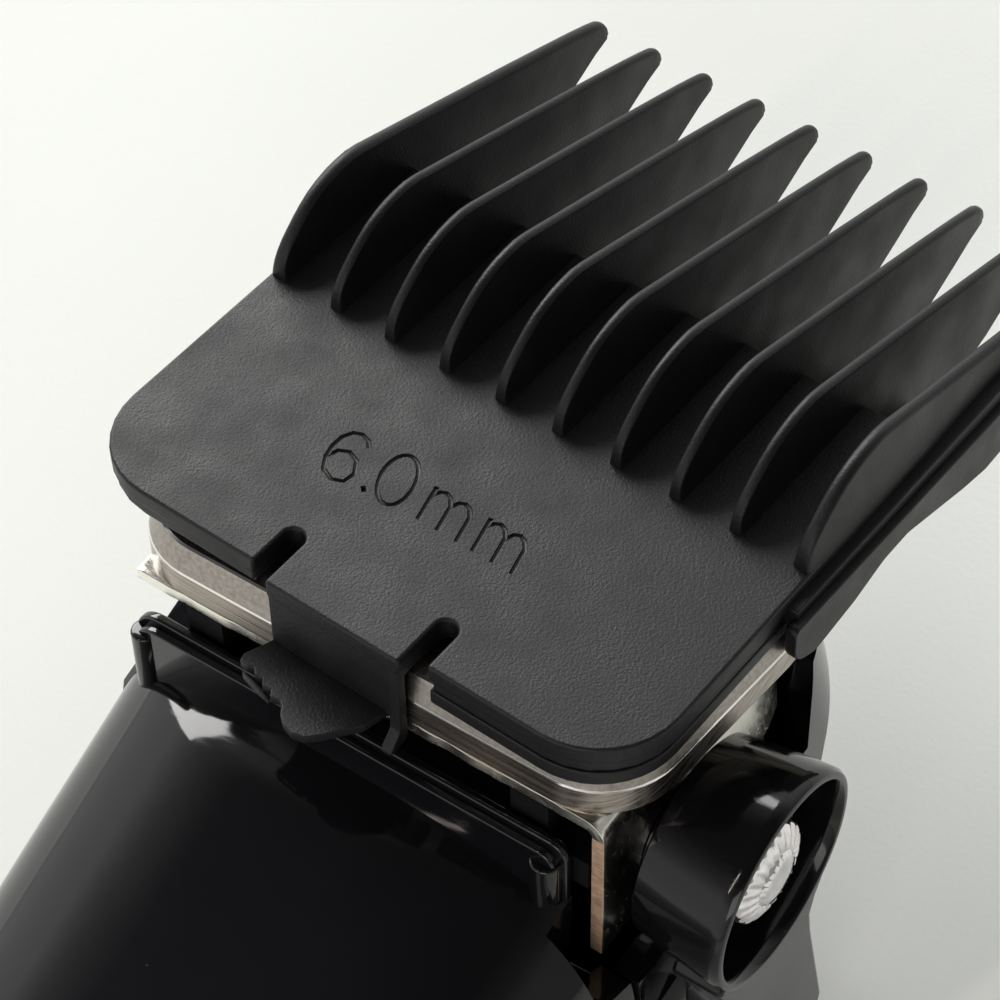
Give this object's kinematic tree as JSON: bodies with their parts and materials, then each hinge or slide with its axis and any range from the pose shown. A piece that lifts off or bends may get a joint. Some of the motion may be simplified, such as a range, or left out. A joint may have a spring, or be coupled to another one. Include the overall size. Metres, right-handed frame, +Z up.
{
  "type": "hair clipper",
  "caption": "Cordless hair clipper with a clip-on guide comb, steel blade set, side taper lever and motor-driven cutter.",
  "frame": {"origin": "middle of the flat land on the lid that the clipper rests on", "axes": "+Z up out of the skin side, +Y along the body towards the teeth, +X towards the taper lever"},
  "size_m": [0.0542, 0.1837, 0.052],
  "materials": {
    "shell_black": "gloss black moulded housing",
    "lever_black": "gloss black moulding",
    "comb_charcoal": "fine textured charcoal moulding",
    "blade_steel": "ground and brushed blade steel",
    "plated_steel": "zinc plated pressed sheet",
    "bright_steel": "bright plated",
    "spring_steel": "drawn wire",
    "white_nylon": "natural nylon",
    "frame_grey": "glass filled moulding",
    "slider_grey": "fine textured moulding",
    "motor_steel": "plated can",
    "winding_copper": "enamelled copper",
    "bush_bronze": "sintered bronze",
    "magnet_grey": "sintered",
    "lead_red": "insulated wire",
    "cell_sleeve": "shrink sleeve",
    "contact_nickel": "nickel strip",
    "board_green": "solder mask",
    "socket_nickel": "plated shell",
    "lamp_white": "lamp body",
    "pipe_clear": "clear moulding"
  },
  "bodies": {
    "housing": {"lower_shell": "shell_black", "top_lid": "shell_black", "nose_cover": "shell_black", "chassis": "frame_grey", "housing_screws": "bright_steel", "lever_screw": "bright_steel", "lever_washer": "spring_steel", "motor_can": "motor_steel", "motor_end_cap": "frame_grey", "motor_bush": "bush_bronze", "motor_magnets": "magnet_grey", "motor_screws": "bright_steel", "motor_leads": "lead_red", "battery": "cell_sleeve", "battery_contacts": "contact_nickel", "battery_cradle": "frame_grey", "circuit_board": "board_green", "board_screws": "bright_steel", "charge_socket": "socket_nickel", "status_light": "lamp_white", "light_pipe": "pipe_clear", "switch_body": "frame_grey"},
    "carriage": {"fixed_blade": "blade_steel", "blade_bracket": "plated_steel", "blade_screws": "bright_steel", "tension_spring": "spring_steel"},
    "comb": {"guide_comb": "comb_charcoal"},
    "cutter": {"moving_blade": "blade_steel", "cam_follower": "white_nylon"},
    "lever": {"taper_lever": "lever_black"},
    "drive": {"drive_eccentric": "white_nylon", "motor_shaft": "bright_steel", "rotor": "winding_copper"},
    "slider": {"power_slider": "slider_grey"}
  },
  "joints": [
    {"name": "lever_swing", "type": "hinge", "parent": "housing", "child": "lever", "pos_m": [0.0247, 0.04359, 0.03378], "axis": [1, 0, 0], "range_deg": [-50, 20]},
    {"name": "taper_slide", "type": "slide", "parent": "housing", "child": "carriage", "axis": [0, 0.9397, -0.342], "range_m": [-0.00113, 0.00045]},
    {"name": "motor_spin", "type": "hinge", "parent": "housing", "child": "drive", "pos_m": [0, 0.03, 0.023], "axis": [0, 1, 0], "range_deg": [-75, 75]},
    {"name": "cutter_slide", "type": "slide", "parent": "carriage", "child": "cutter", "axis": [1, 0, 0], "range_m": [-0.0016, 0.0016]},
    {"name": "comb_lift", "type": "slide", "parent": "carriage", "child": "comb", "axis": [0, 0.342, 0.9397], "range_m": [0, 0.02]},
    {"name": "power_slide", "type": "slide", "parent": "housing", "child": "slider", "axis": [0, 1, 0], "range_m": [0, 0.004]}
  ],
  "couplings": [
    {"joint": "lever_swing", "follows": "taper_slide", "rad_per_m": 769.23},
    {"joint": "cutter_slide", "follows": "motor_spin", "m_per_rad": 0.0012}
  ]
}
